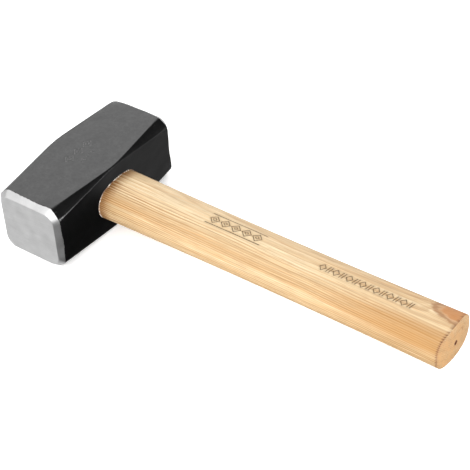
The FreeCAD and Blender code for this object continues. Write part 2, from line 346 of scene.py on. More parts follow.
def oval(half_width, half_height, corner_share, flat_share):
    """An oval of tangent arcs as points (across, up), anticlockwise from the right-hand end."""
    corner, flat = corner_share * half_height, flat_share * half_height
    reach, rise = half_width - corner, half_height - flat
    crown = (reach ** 2 + rise ** 2 - corner ** 2) / (2 * (rise - corner))
    lean = math.atan2(flat + crown - half_height, reach)
    round_end = [(reach + corner * math.cos(t), flat + corner * math.sin(t))
                 for t in np.linspace(0, lean, CORNER_STEPS + 1)]
    crowned = [(crown * math.cos(t), half_height - crown + crown * math.sin(t))
               for t in np.linspace(lean, math.pi / 2, CROWN_STEPS // 2 + 1)[1:]]
    quarter = np.array(round_end + crowned)
    upper = np.concatenate([quarter, (quarter * [-1, 1])[-2::-1]])
    middle = np.array([[-half_width, 0.0]])
    lower = (upper * [1, -1])[::-1]
    return np.concatenate([upper, middle, lower, -middle])


def oval_ring(place, section):
    """An oval stood up across the handle's axis."""
    return np.column_stack([np.full(len(section), place), section])


# %% The eye's cutter
EYE_WIDTH, EYE_HEIGHT = 33.2, 22.0
EYE_DRAFT = 1.0
OVAL_CORNER, OVAL_FLAT = 0.89, 0.03
REAR_LIP, FRONT_LIP = 0.8, 0.25
LIP_STEPS = 5
OVERSHOOT = 1


def eye_section(place, extra=0.0):
    """The eye's oval at a place along the handle's axis, grown by extra all round."""
    draft = EYE_DRAFT * (1 - min(abs(place) / HALF_WIDTH, 1)) - extra
    return oval(EYE_WIDTH / 2 - draft, EYE_HEIGHT / 2 - draft, OVAL_CORNER, OVAL_FLAT)


def lip_stations(lip):
    """Distances inside a mouth and how far its rounded lip stands back there."""
    angles = np.linspace(0, math.pi / 2, LIP_STEPS + 1)
    return [(lip * (1 - math.sin(t)), lip * (1 - math.cos(t))) for t in angles]


eye_rings = [oval_ring(-HALF_WIDTH - OVERSHOOT, eye_section(-HALF_WIDTH, REAR_LIP))]
eye_rings += [oval_ring(-HALF_WIDTH + depth, eye_section(-HALF_WIDTH + depth, back))
              for depth, back in reversed(lip_stations(REAR_LIP))]
eye_rings += [oval_ring(0, eye_section(0))]
eye_rings += [oval_ring(HALF_WIDTH - depth, eye_section(HALF_WIDTH - depth, back))
              for depth, back in lip_stations(FRONT_LIP)]
eye_rings += [oval_ring(HALF_WIDTH + OVERSHOOT, eye_section(HALF_WIDTH, FRONT_LIP))]
shape = bmesh.new()
made = join_rings(shape, eye_rings)
shape.faces.new(made[0])
shape.faces.new(made[-1])
eye_cutter = new_piece("eye_cutter", shape)
print(f"eye cutter: {len(eye_rings)} rings")

# %% [markdown]
# ## The handle
# The handle is turned and sanded from one piece of hickory. Three ovals fix it: the neck at the
# head, the slimmer middle and the fuller butt, and a smooth curve runs through the three. Past
# the neck the tenon follows the eye. The butt's end is a shallow dome with the small hole that
# the lathe's centre left.

# %% Sections of the handle
SHOULDER = 0.3
MIDDLE_HALVES, BUTT_HALVES = (15.8, 11.25), (16.25, 11.0)
NECK = oval(EYE_WIDTH / 2 + SHOULDER, EYE_HEIGHT / 2 + SHOULDER, OVAL_CORNER, OVAL_FLAT)
MIDDLE = oval(*MIDDLE_HALVES, OVAL_CORNER, OVAL_FLAT)
BUTT = oval(*BUTT_HALVES, 0.8, 0.145)
DOME_RADIUS = 88.0
TENON_CLEARANCE = 0.03
GRIP_START = HALF_WIDTH


def grip_shares(place):
    """How much the neck, the middle and the butt each count at a place: 1 at its own."""
    t = (place - GRIP_START) / (BUTT_END - GRIP_START)
    return (1 - t) * (1 - 2 * t), 4 * t * (1 - t), t * (2 * t - 1)


def grip_section(place):
    """The oval of the grip at a place, on a curve through the neck, the middle and the butt."""
    return sum(share * section for share, section in zip(grip_shares(place), (NECK, MIDDLE, BUTT)))


def domed(section):
    """A ring of the butt's end: a section whose points lie on the dome."""
    fallen = DOME_RADIUS - np.sqrt(DOME_RADIUS ** 2 - (section ** 2).sum(axis=1))
    return np.column_stack([BUTT_END - fallen, section])


print(f"grip at its middle: {np.ptp(MIDDLE[:, 0]):.1f} x {np.ptp(MIDDLE[:, 1]):.1f} mm")

# %% [markdown]
# Where the handle was driven home, the head's edge shaved a curl of pale fibres off the wood.
# It is a ragged little ridge, made by pushing the first rings of the neck out by a fixed noise
# that changes quickly round the neck.

# %% The shaved curl
BURR_WIDTH = 0.55


def burr_height(point, strength):
    """How far a shaved fibre stands out at a point of the neck."""
    ragged = noise.noise(Vector((point[1] * 0.9, point[2] * 0.9, 7.3)))
    fine = noise.noise(Vector((point[1] * 3.1, point[2] * 3.1, 2.9)))
    return strength * max(0.0, 0.14 + 0.42 * ragged + 0.3 * fine)


def pushed_out(ring, strength):
    """The ring with each point moved outwards by its fibre."""
    outward = ring[:, 1:] / np.linalg.norm(ring[:, 1:], axis=1)[:, None]
    lengths = np.array([burr_height(point, strength) for point in ring])
    moved = ring.copy()
    moved[:, 1:] += outward * lengths[:, None]
    return moved


# %% Rings from the tenon to the butt
TENON_SAWN = TENON_END + 0.12
RING_PITCH = 1.3
tenon_places = np.concatenate([[TENON_SAWN, TENON_SAWN + 0.35],
                               np.linspace(1 - HALF_WIDTH, GRIP_START, 12)])
handle_rings = []
for place in tenon_places:
    handle_rings.append(oval_ring(place, eye_section(place, -TENON_CLEARANCE)))
for depth, strength in ((0.0, 0.3), (0.15, 1.0), (0.35, 0.7), (BURR_WIDTH, 0.0)):
    smooth = oval_ring(GRIP_START + depth, grip_section(GRIP_START + depth))
    handle_rings.append(pushed_out(smooth, strength))
grip_places = np.arange(GRIP_START + 1.2, BUTT_END - 2.2, RING_PITCH)
for place in grip_places:
    handle_rings.append(oval_ring(place, grip_section(place)))
print(f"{len(handle_rings)} rings from the tenon to the butt")

# %% [markdown]
# The butt is a shallow dome that meets the grip in a crease, rounded over about half a
# millimetre. The rings there shrink from the oval crease to the round mouth of the hole that
# the lathe's centre left. Blending one outline into the other keeps the same number of points
# in every ring, and a rounded crease made of rings can't fold over itself, as a bevel can.

# %% The butt and its centre hole
HOLE_RADIUS = 1.1
MOUTH_RADIUS = HOLE_RADIUS + 0.2
CREASE_SHARE = 0.03
crease = grip_section(BUTT_END - 1.0)
angles = np.arctan2(crease[:, 1] / BUTT_HALVES[1], crease[:, 0] / BUTT_HALVES[0])
mouth = MOUTH_RADIUS * np.column_stack([np.cos(angles), np.sin(angles)])
sharp = domed(crease)
before = sharp - [0.3, 0, 0]
after = domed((1 - CREASE_SHARE) * crease + CREASE_SHARE * mouth)
for t in (0, 0.25, 0.5, 0.75, 1):
    handle_rings.append((1 - t) ** 2 * before + 2 * t * (1 - t) * sharp + t * t * after)
for share in (0.1, 0.2, 0.32, 0.45, 0.58, 0.71, 0.84, 0.94, 1.0):
    handle_rings.append(domed((1 - share) * crease + share * mouth))
for radius, depth in ((HOLE_RADIUS, 0.25), (0.97, 1.2), (0.9, 3.0), (0.3, 3.6)):
    handle_rings.append(oval_ring(BUTT_END - depth, mouth * radius / MOUTH_RADIUS))

shape = bmesh.new()
made = join_rings(shape, handle_rings)
shape.faces.new(made[0])
shape.faces.new(made[-1])
handle = new_piece("hickory_handle", shape)
print(f"handle skin: {len(handle.data.polygons)} faces")

# %% [markdown]
# ## Branded marks
# A hot iron pressed two plain marks into the flat of the handle: a row of lozenges between two
# rules, and a running border of lozenges and slanted strokes. They carry no words. Each stroke
# is a real groove, an eighth of a millimetre deep or so: a thin prism that follows the crown of
# the wood is built for it and cut out, so that the scorched bottom lies below the surface.

# %% The surface under the brand
def crown_height(place, across):
    """Height of the handle's upper flank above the axis."""
    return sum(share * np.interp(across, flank[:, 0], flank[:, 1])
               for share, flank in zip(grip_shares(place), FLANKS))


def upper_flank(section):
    """The upper half of an oval, from left to right."""
    half = section[:2 * (CORNER_STEPS + CROWN_STEPS // 2) + 1]
    return half[::-1]


FLANKS = [upper_flank(section) for section in (NECK, MIDDLE, BUTT)]
print(f"upper flank: {len(FLANKS[0])} points across")

# %% [markdown]
# A stroke is a trough: wide at the top, a little narrower at its bottom, and mitred where its
# path turns. It gets a rib at least every 0.8 mm, so that it can follow a crowned surface.

# %% Draw one stroke
HEADROOM = 0.35
BOTTOM_SHARE = 0.7
MOST_MITRE = 2.0


def finely(path, closed, pitch=0.8):
    """The path with points added so that it can follow the crown."""
    ends = path[1:] + path[:1] if closed else path[1:]
    points = []
    for start, end in zip(path, ends):
        steps = max(1, math.ceil(math.dist(start, end) / pitch))
        points += [tuple(np.array(start) + (np.array(end) - start) * k / steps) for k in range(steps)]
    return points if closed else points + [path[-1]]


def add_stroke(shape, path, width, surface, depth, closed=False):
    """Adds a prism along a path, from above a surface to the bottom of the groove it will cut."""
    path = [np.array(point) for point in finely(path, closed)]
    count = len(path)
    ribs = []
    for k, point in enumerate(path):
        back = point - path[k - 1] if closed or k > 0 else path[1] - path[0]
        ahead = path[(k + 1) % count] - point if closed or k < count - 1 else point - path[k - 1]
        back, ahead = back / np.linalg.norm(back), ahead / np.linalg.norm(ahead)
        side = np.array([-(back + ahead)[1], (back + ahead)[0]])
        side = side / np.linalg.norm(side)
        mitre = min(1 / max(abs(side @ [-ahead[1], ahead[0]]), 0.3), MOST_MITRE)
        rib = []
        for offset, lift in ((1, HEADROOM), (-1, HEADROOM), (-BOTTOM_SHARE, -depth), (BOTTOM_SHARE, -depth)):
            x, y = point + side * offset * mitre * width / 2
            rib.append(shape.verts.new(Vector((x, y, AXIS_HEIGHT + surface(x, y) + lift)) * MM))
        ribs.append(rib)
    pairs = list(zip(ribs, ribs[1:] + ribs[:1])) if closed else list(zip(ribs, ribs[1:]))
    for one, other in pairs:
        for k in range(4):
            shape.faces.new((one[k], one[(k + 1) % 4], other[(k + 1) % 4], other[k]))
    if not closed:
        shape.faces.new(ribs[0])
        shape.faces.new(ribs[-1])
    return path


def lozenge(x, y, half_long, half_wide):
    """The four corners of a lozenge."""
    return [(x - half_long, y), (x, y + half_wide), (x + half_long, y), (x, y - half_wide)]


# %% [markdown]
# The mark near the head has five double lozenges between two rules, and the border nearer the
# butt has seven single ones with two slanted strokes after each. The points along the strokes
# are kept in a list, because the wood round them gets a brown halo later.

# %% Brand the two marks
BRAND_DEPTH = 0.14
BRANDED = []
brand = bmesh.new()


def burn(path, width, closed=False):
    """Adds one stroke of the brand and remembers where it runs."""
    BRANDED.extend(add_stroke(brand, path, width, crown_height, BRAND_DEPTH, closed))


def burn_slanted(x, y, half_long, width, slant=0.5):
    """One slanted stroke of the brand through a place."""
    burn([(x - slant, y - half_long), (x + slant, y + half_long)], width)


RULE_START, RULE_END = 85.0, 120.0
RULE_SPACING, RULE_WIDTH = 4.1, 0.55
MARK_MIDDLE = 1.3
LOZENGE_START, LOZENGE_PITCH = RULE_START + 3.7, 6.9
for side in (-1, 1):
    level = MARK_MIDDLE + RULE_SPACING * side
    burn([(RULE_START, level), (RULE_END, level)], RULE_WIDTH)
for k in range(5):
    centre = LOZENGE_START + LOZENGE_PITCH * k
    burn(lozenge(centre, MARK_MIDDLE, 2.9, 2.8), 0.5, closed=True)
    burn(lozenge(centre, MARK_MIDDLE, 1.1, 1.05), 0.42, closed=True)
BORDER_START, BORDER_MIDDLE, BORDER_PITCH = 158.0, 0.9, 8.1
BORDER_WIDTH = 0.46
for k in range(7):
    centre = BORDER_START + BORDER_PITCH * k
    burn(lozenge(centre, BORDER_MIDDLE, 1.9, 2.3), BORDER_WIDTH, closed=True)
    for lead in (3.3, 4.8):
        burn_slanted(centre + lead, BORDER_MIDDLE, 2.2, BORDER_WIDTH)
brand_cutter = new_piece("brand_cutter", brand)
print(f"brand: {len(BRANDED)} points along the strokes")

# %% [markdown]
# The head carries a stamped mark of the same family in the middle of its upper cheek: three
# lozenges beside a short row of bars, shallow, and painted a lighter grey as a painted highlight.
# It is cut together with the eye, so the head is rebuilt and welded only once.

# %% Stamp the cheek and cut the eye
STAMP_DEPTH, STAMP_WIDTH = 0.08, 0.7
LOZENGE_ROW, BAR_ROW = -3.4, 3.6
LOZENGE_MIDDLE, LOZENGE_STEP = -1, 7.8
BAR_START, BAR_STEP = -7.5, 2.6
stamp = bmesh.new()


def flat_cheek(x, y):
    """Height of the upper cheek above the axis."""
    return HALF_HEIGHT


for k in (-1, 0, 1):
    for half_long, half_wide in ((2.7, 3.1), (1.1, 1.3)):
        path = lozenge(LOZENGE_ROW, LOZENGE_MIDDLE + LOZENGE_STEP * k, half_long, half_wide)
        add_stroke(stamp, path, STAMP_WIDTH, flat_cheek, STAMP_DEPTH, closed=True)
for k in range(6):
    y = BAR_START + BAR_STEP * k
    path = [(BAR_ROW - 1.3, y - 0.5), (BAR_ROW + 1.3, y + 0.5)]
    add_stroke(stamp, path, STAMP_WIDTH, flat_cheek, STAMP_DEPTH)
stamp_cutter = new_piece("stamp_cutter", stamp)
cut_with(head, [eye_cutter, stamp_cutter])
for cutter in (eye_cutter, stamp_cutter):
    discard(cutter)
smooth_below(head, 35)
print(f"head with its eye and stamp: {len(head.data.polygons)} faces")

# %% [markdown]
# ## Finishes: a few helpers
# Every finish is made of nodes that work in millimetres in the row frame, so a grain line or a
# grinding scratch has its real width. The helpers add a node, do a sum, stretch a noise along
# one direction and mix two colours. A material made this way needs no unwrapped surface, and it
# runs through the solid, so a cut shows the same grain inside.

# %% Node helpers
def add(tree, kind, inputs=None, **settings):
    """Adds a node. An input may be a number, a colour or another node's output."""
    made = tree.nodes.new(kind)
    for name, value in settings.items():
        setattr(made, name, value)
    for name, value in (inputs or {}).items():
        if isinstance(value, bpy.types.NodeSocket):
            tree.links.new(value, made.inputs[name])
        else:
            made.inputs[name].default_value = value
    return made


def calc(tree, operation, *values, clamp=False):
    """The result of a sum."""
    made = add(tree, "ShaderNodeMath", dict(enumerate(values)), operation=operation, use_clamp=clamp)
    return made.outputs[0]


def remap(tree, value, low, high, start=0.0, end=1.0):
    """Moves a value from one range to another, easing in and out."""
    return add(tree, "ShaderNodeMapRange", {"Value": value, "From Min": low, "From Max": high,
                                            "To Min": start, "To Max": end},
               interpolation_type="SMOOTHSTEP").outputs[0]


def stretched(tree, place, factors):
    """A place with its three directions scaled, so that a noise read there is stretched."""
    return add(tree, "ShaderNodeVectorMath", {0: place, 1: factors}, operation="MULTIPLY").outputs[0]


def rough(tree, place, scale=1.0, detail=2.0, roughness=0.5):
    """A soft noise between 0 and 1."""
    return add(tree, "ShaderNodeTexNoise", {"Vector": place, "Scale": scale, "Detail": detail,
                                            "Roughness": roughness}).outputs[0]


def mixed(tree, share, first, second, mode="MIX"):
    """Two colours mixed by a share."""
    made = add(tree, "ShaderNodeMix", {0: share, 6: first, 7: second}, data_type="RGBA", blend_type=mode)
    return made.outputs[2]


def levels(tree, value, stops):
    """A value turned into grey levels at a few stops, with straight runs between them."""
    ramp = add(tree, "ShaderNodeValToRGB", {0: value})
    elements = ramp.color_ramp.elements
    while len(elements) < len(stops):
        elements.new(0.5)
    for element, (position, level) in zip(elements, stops):
        element.position = position
        element.color = (level, level, level, 1)
    return ramp.outputs[0]


def raised(tree, height, depth_mm, normal=None):
    """A bump whose full height is depth_mm."""
    inputs = {"Height": height, "Distance": depth_mm * MM, "Strength": 1.0}
    if normal is not None:
        inputs["Normal"] = normal
    return add(tree, "ShaderNodeBump", inputs).outputs[0]


def start_finish(name):
    """A new material with its Principled shader, and the place in millimetres about the handle's axis."""
    finish = bpy.data.materials.new(name)
    finish.use_nodes = True
    tree = finish.node_tree
    tree.nodes.clear()
    shader = add(tree, "ShaderNodeBsdfPrincipled")
    output = add(tree, "ShaderNodeOutputMaterial")
    tree.links.new(shader.outputs[0], output.inputs[0])
    row = add(tree, "ShaderNodeTexCoord").outputs["Object"]
    place = add(tree, "ShaderNodeVectorMath", {0: row, 1: (1 / MM,) * 3, 2: (0, 0, -AXIS_HEIGHT)},
                operation="MULTIPLY_ADD").outputs[0]
    return finish, tree, shader, place


def apart(tree, place):
    """The three numbers of a place."""
    return add(tree, "ShaderNodeSeparateXYZ", {0: place}).outputs


# %% [markdown]
# ## Black lacquer
# The forging is dipped in a black lacquer that dries satin. It follows the faint waves that the
# dies left, it has an orange-peel skin of its own, and it is rubbed thin on the sharpest edges.
# The rounded edges are told from the flats by an attribute written on the mesh, so the wear
# stays where a rag and other tools would reach. A film of dust lies on what faces upwards, in
# fine specks. It is partly a painted sheen: together with the sheen light it makes the upper
# cheek a dull grey beside the deep black sides.

# %% Find the head's edges
def write_number(piece, name, values):
    """Stores one number for each point of a piece."""
    layer = piece.data.attributes.new(name, "FLOAT", "POINT")
    layer.data.foreach_set("value", np.asarray(values, np.float32))


normals = np.array([vertex.normal for vertex in head.data.vertices])
squareness = np.sort(np.abs(normals), axis=1)[:, -1]
FACET_SLACK, EDGE_GAIN = 0.06, 9
on_facet = np.abs(np.abs(normals[:, 0]) - np.abs(normals[:, 2])) < FACET_SLACK
edge_share = np.where(on_facet, 0, np.clip((1 - squareness) * EDGE_GAIN, 0, 1))
write_number(head, "edge", edge_share)
print(f"points on the head's rounded edges: {(edge_share > 0.5).sum()} of {len(edge_share)}")

# %% The lacquer
lacquer, tree, shader, place = start_finish("black_lacquer")
waves = rough(tree, stretched(tree, place, (0.1, 0.06, 0.1)), detail=1.0)
peel = rough(tree, place, 1.1, detail=2.0)
grit = rough(tree, place, 4.5, detail=2.0)
cloud = rough(tree, place, 0.16, detail=6.0, roughness=0.7)
upward = apart(tree, add(tree, "ShaderNodeNewGeometry").outputs["Normal"])[2]
dust_and_sheen_cloud = remap(tree, cloud, 0.25, 0.75, 0.25, 1.0)
# dust on upward faces, and partly a painted sheen that lightens the upper cheek
dust_and_sheen = calc(tree, "MULTIPLY", remap(tree, upward, 0.75, 0.98), dust_and_sheen_cloud)
tone = mixed(tree, cloud, (0.0018, 0.0018, 0.0019, 1), (0.0035, 0.0035, 0.0036, 1))
speck = rough(tree, place, 0.55, detail=5.0, roughness=0.72)
dust_and_sheen_film = mixed(tree, remap(tree, speck, 0.36, 0.64), (0.009, 0.009, 0.009, 1), (0.025, 0.025, 0.025, 1))
tone = mixed(tree, dust_and_sheen, tone, dust_and_sheen_film)
edge = add(tree, "ShaderNodeAttribute", attribute_name="edge").outputs["Fac"]
chips = remap(tree, rough(tree, place, 0.55, detail=4.0, roughness=0.65), 0.66, 0.7)
worn = calc(tree, "MULTIPLY", edge, chips, clamp=True)
tone = mixed(tree, worn, tone, (0.1, 0.098, 0.095, 1))
tree.links.new(tone, shader.inputs["Base Color"])
gloss = calc(tree, "MULTIPLY_ADD", peel, 0.08, 0.21)
gloss = calc(tree, "MULTIPLY_ADD", cloud, 0.16, gloss)
tree.links.new(gloss, shader.inputs["Roughness"])
shader.inputs["Specular IOR Level"].default_value = 0.42
skin = raised(tree, waves, 0.4)
skin = raised(tree, peel, 0.022, skin)
skin = raised(tree, grit, 0.003, skin)
tree.links.new(skin, shader.inputs["Normal"])
print("lacquer:", len(tree.nodes), "nodes")

# %% [markdown]
# ## Ground steel
# The two faces and the chamfers round them are ground bright on a wheel. The wheel leaves fine
# parallel scratches: across the face they run one way, and on the chamfer they run from the
# face to the side. Both are long thin noises that tilt the surface a little and change how
# sharply it shines.

# %% The ground faces
ground, tree, shader, place = start_finish("ground_steel")
y = apart(tree, place)[1]
scratches = rough(tree, stretched(tree, place, (0.12, 1.0, 5.5)), detail=3.0, roughness=0.6)
fine_scratches = rough(tree, stretched(tree, place, (0.4, 1.0, 14.0)), detail=2.0)
across_chamfer = rough(tree, stretched(tree, place, (3.2, 0.2, 3.2)), detail=3.0, roughness=0.6)
from_edge = calc(tree, "SUBTRACT", HALF_LENGTH - 0.5, calc(tree, "ABSOLUTE", y))
on_chamfer = remap(tree, from_edge, 0.0, 0.3)
streaks = calc(tree, "ADD", calc(tree, "MULTIPLY", scratches, calc(tree, "SUBTRACT", 1.0, on_chamfer)),
               calc(tree, "MULTIPLY", across_chamfer, on_chamfer))
patches = rough(tree, place, 0.12, detail=3.0)
bright = calc(tree, "ADD", calc(tree, "MULTIPLY", streaks, 0.35), calc(tree, "MULTIPLY", patches, 0.4))
steel = mixed(tree, remap(tree, bright, 0.2, 0.55), (0.45, 0.45, 0.45, 1), (0.6, 0.6, 0.6, 1))
tree.links.new(steel, shader.inputs["Base Color"])
shader.inputs["Metallic"].default_value = 1.0
tree.links.new(calc(tree, "MULTIPLY_ADD", streaks, 0.22, 0.3), shader.inputs["Roughness"])
skin = raised(tree, streaks, 0.006)
skin = raised(tree, fine_scratches, 0.002, skin)
tree.links.new(skin, shader.inputs["Normal"])
print("ground steel:", len(tree.nodes), "nodes")

# %% [markdown]
# The bottom of the stamp is painted a lighter grey, a painted highlight, so the shallow strokes
# read as a soft grey. This finish goes only on the faces that the stamp left below the cheek.

# %% Painted highlight in the stamp
stamp_highlight, tree, shader, place = start_finish("stamp_painted_highlight")
stamp_noise = rough(tree, place, 0.8, detail=4.0, roughness=0.6)
# painted highlight: the stamp's bottom is painted lighter than the lacquered cheek
tree.links.new(mixed(tree, remap(tree, stamp_noise, 0.35, 0.65), (0.02, 0.02, 0.02, 1), (0.085, 0.084, 0.082, 1)),
               shader.inputs["Base Color"])
tree.links.new(calc(tree, "MULTIPLY_ADD", stamp_noise, 0.2, 0.3), shader.inputs["Roughness"])
shader.inputs["Specular IOR Level"].default_value = 0.42
tree.links.new(raised(tree, stamp_noise, 0.03), shader.inputs["Normal"])
print("dust:", len(tree.nodes), "nodes")

# %% [markdown]
# Each face of the head gets its finish by where it lies. Faces beyond the wandering paint line
# are ground, faces a little below the upper cheek are the bottom of the stamp, and all others
# are lacquered.

# %% Give the head its three finishes
head.data.materials.clear()
for finish in (lacquer, ground, stamp_highlight):
    head.data.materials.append(finish)
LACQUER, GROUND, STAMP_HIGHLIGHT = range(3)
STAMP_REACH = 14
paint_stop = CHAMFER_LINE + 0.05
for polygon in head.data.polygons:
    x, y, z = np.array(polygon.center) / MM - [0, 0, AXIS_HEIGHT]
    polygon.material_index = LACQUER
    if abs(y) > paint_stop + paint_wander(x, z):
        polygon.material_index = GROUND
    elif HALF_HEIGHT - 0.2 < z < HALF_HEIGHT - 0.02 and math.hypot(x, y) < STAMP_REACH:
        polygon.material_index = STAMP_HIGHLIGHT
counts = [sum(face.material_index == k for face in head.data.polygons) for k in range(3)]
print("lacquered, ground and dusty faces:", counts)

# %% [markdown]
# ## Hickory
# The wood is cut from a board whose growth rings lie almost flat under the upper side and tip
# down towards the near side. One number, the depth into the rings, decides everything: where
# it changes slowly the grain is broad, and where it changes fast the lines crowd together.
# Because the pattern fills space, the lines on the side meet those on the end.

# %% Wood grain in space
RING_TILT = math.radians(25)
RING_SPACING = 1.02
KNOT = (238.5, 9.0)
KNOT_REACH = (16.5, 7.0)


def knot_distance(tree, place):
    """How far a point is from the knot's middle: 1 on the knot's own outline."""
    x, y, z = apart(tree, place)
    along = calc(tree, "DIVIDE", calc(tree, "SUBTRACT", x, KNOT[0]), KNOT_REACH[0])
    across = calc(tree, "DIVIDE", calc(tree, "SUBTRACT", y, KNOT[1]), KNOT_REACH[1])
    below = remap(tree, z, 7.0, -2.0, 0.0, 2.0)
    flat = add(tree, "ShaderNodeCombineXYZ", {0: along, 1: across, 2: below}).outputs[0]
    return add(tree, "ShaderNodeVectorMath", {0: flat}, operation="LENGTH").outputs["Value"]


def ring_depth(tree, place):
    """How deep a point lies in the growth rings, in millimetres, with slow natural waves."""
    x, y, z = apart(tree, place)
    depth = calc(tree, "MULTIPLY", z, -math.cos(RING_TILT))
    depth = calc(tree, "MULTIPLY_ADD", y, -math.sin(RING_TILT), depth)
    depth = calc(tree, "MULTIPLY_ADD", x, -0.013, depth)
    slow = rough(tree, stretched(tree, place, (0.009, 0.07, 0.07)), detail=1.0)
    quick = rough(tree, stretched(tree, place, (0.03, 0.25, 0.25)), detail=1.0)
    depth = calc(tree, "MULTIPLY_ADD", slow, 3.4, depth)
    depth = calc(tree, "MULTIPLY_ADD", quick, 0.6, depth)
    reach = knot_distance(tree, place)
    swell = calc(tree, "POWER", 2.718, calc(tree, "MULTIPLY", calc(tree, "MULTIPLY", reach, reach), -0.8))
    return calc(tree, "MULTIPLY_ADD", swell, 5.0, depth)


# %% [markdown]
# Each ring ends in a thin dark line, stronger in some years than in others, so every ring draws
# its own strength from a white noise. Two short tables say how warm and how strongly lined the
# wood is at each depth: pale sapwood on top, crowded honey-coloured rings on the shoulder, one
# pale streak on the near side. Long thin noises add the fibres and the tawny streaks.

# %% Colour from the grain
CREAM = (0.635, 0.505, 0.318, 1)
HONEY = (0.485, 0.325, 0.165, 1)
TAWNY = (0.52, 0.285, 0.11, 1)
LINE_BROWN = (0.29, 0.14, 0.036, 1)
DEPTH_ABOVE, DEPTH_SPAN = 12.0, 30.0
WARMTH = ((0.0, 0.6), (0.06, 0.25), (0.12, 0.05), (0.2, 0.3), (0.3, 0.75), (0.46, 0.95), (0.49, 0.45),
          (0.51, 0.35), (0.535, 0.55), (1.0, 0.45))
CONTRAST = ((0.0, 0.35), (0.14, 0.35), (0.22, 0.85), (0.36, 1.0), (0.46, 1.0), (0.49, 0.45), (0.52, 0.5),
            (0.55, 0.85), (1.0, 0.75))


def grain(tree, place):
    """The colour of the wood, its ring lines and its fibres."""
    x = apart(tree, place)[0]
    depth = ring_depth(tree, place)
    count = calc(tree, "DIVIDE", depth, RING_SPACING)
    within = calc(tree, "FRACT", count)
    strength = add(tree, "ShaderNodeTexWhiteNoise", {"W": calc(tree, "FLOOR", count)},
                   noise_dimensions="1D").outputs["Value"]
    share = calc(tree, "DIVIDE", calc(tree, "ADD", depth, DEPTH_ABOVE), DEPTH_SPAN, clamp=True)
    warmth = levels(tree, share, WARMTH)
    contrast = levels(tree, share, CONTRAST)
    line = calc(tree, "MULTIPLY", calc(tree, "POWER", within, 1.7), remap(tree, within, 1.0, 0.84))
    line = calc(tree, "MULTIPLY", line, calc(tree, "MULTIPLY_ADD", strength, 0.7, 0.75))
    along = calc(tree, "MULTIPLY", x, 0.012)
    bands_at = add(tree, "ShaderNodeCombineXYZ", {0: along, 1: depth, 2: 0.0}).outputs[0]
    uneven = rough(tree, bands_at, 1.4, detail=3.0, roughness=0.6)
    line = calc(tree, "MULTIPLY", line, remap(tree, uneven, 0.25, 0.65, 0.4, 1.15))
    near_head = remap(tree, x, 95.0, 25.0, 1.0, 1.45)
    near_butt = remap(tree, x, 150.0, 215.0, 1.0, 1.35)
    lift = calc(tree, "MULTIPLY", calc(tree, "MULTIPLY", contrast, near_head), near_butt)
    line = calc(tree, "MULTIPLY", line, lift, clamp=True)
    fibre = rough(tree, stretched(tree, place, (0.04, 1.7, 1.7)), detail=4.0, roughness=0.7)
    streak = rough(tree, stretched(tree, place, (0.014, 0.75, 0.75)), detail=3.0, roughness=0.6)
    bands = rough(tree, bands_at, 0.55, detail=2.0)
    warm = calc(tree, "ADD", warmth, calc(tree, "MULTIPLY_ADD", bands, 0.9, -0.45))
    warm = calc(tree, "ADD", warm, remap(tree, x, 140.0, 215.0, 0.0, 0.3))
    warm = calc(tree, "ADD", warm, calc(tree, "MULTIPLY_ADD", streak, 1.9, -0.95), clamp=True)
    colour = mixed(tree, warm, CREAM, HONEY)
    tawny = rough(tree, stretched(tree, place, (0.022, 1.1, 1.1)), 1.2, detail=3.0, roughness=0.6)
    colour = mixed(tree, remap(tree, tawny, 0.5, 0.68, 0.0, 0.55), colour, TAWNY)
    colour = mixed(tree, line, colour, LINE_BROWN)
    shade = calc(tree, "MULTIPLY_ADD", fibre, 0.9, 0.55)
    greys = add(tree, "ShaderNodeCombineColor", {0: shade, 1: shade, 2: shade}).outputs[0]
    return mixed(tree, 1.0, colour, greys, "MULTIPLY"), line, fibre


# %% [markdown]
# On top of the solid grain come the things that happened to this handle: a darker neck, partly
# a stain where the head's lacquer and glue crept in and partly painted shade where the wood meets
# the head, with fine dark cracks in it, wood that is warmer on the near side of the butt, a
# red-brown knot on its far side, and the brown halo round the branded strokes. Then a thin satin lacquer
# goes over everything.

# %% Long grain with its pores, stain and painted shade at the neck
hickory, tree, shader, place = start_finish("lacquered_hickory")
colour, line, fibre = grain(tree, place)
x, y, z = apart(tree, place)
vessels = rough(tree, stretched(tree, place, (0.13, 1.9, 1.9)), detail=3.0, roughness=0.6)
pores = remap(tree, vessels, 0.56, 0.66)
colour = mixed(tree, calc(tree, "MULTIPLY", pores, 0.32), colour, (0.3, 0.155, 0.06, 1))
mottle = rough(tree, stretched(tree, place, (0.3, 0.5, 0.5)), detail=3.0)
# the darkening at the neck is partly real stain and cracks, partly painted shade where the wood meets the
# head
neck_distance = calc(tree, "ADD", x, calc(tree, "MULTIPLY", calc(tree, "SUBTRACT", mottle, 0.5), 3.0))
stain_and_shade = remap(tree, neck_distance, GRIP_START, GRIP_START + 9.0, 1.0, 0.0)
stain_and_shade = calc(tree, "MULTIPLY", stain_and_shade, calc(tree, "MULTIPLY_ADD", line, 1.6, 0.55), clamp=True)
colour = mixed(tree, stain_and_shade, colour, (0.25, 0.11, 0.033, 1))
by_the_head = remap(tree, neck_distance, GRIP_START, GRIP_START + 4.5, 1.0, 0.0)
crack_and_shade = calc(tree, "MULTIPLY", by_the_head, remap(tree, fibre, 0.55, 0.42))
colour = mixed(tree, calc(tree, "MULTIPLY", crack_and_shade, 0.6), colour, (0.12, 0.045, 0.015, 1))
print("grain, pores and stain:", len(tree.nodes), "nodes")

# %% [markdown]
# Near the butt the wood is a warmer brown on the near side. On the far side a knot lies just
# under the surface: a red-brown heart inside a darker outline, both made uneven by the mottle.

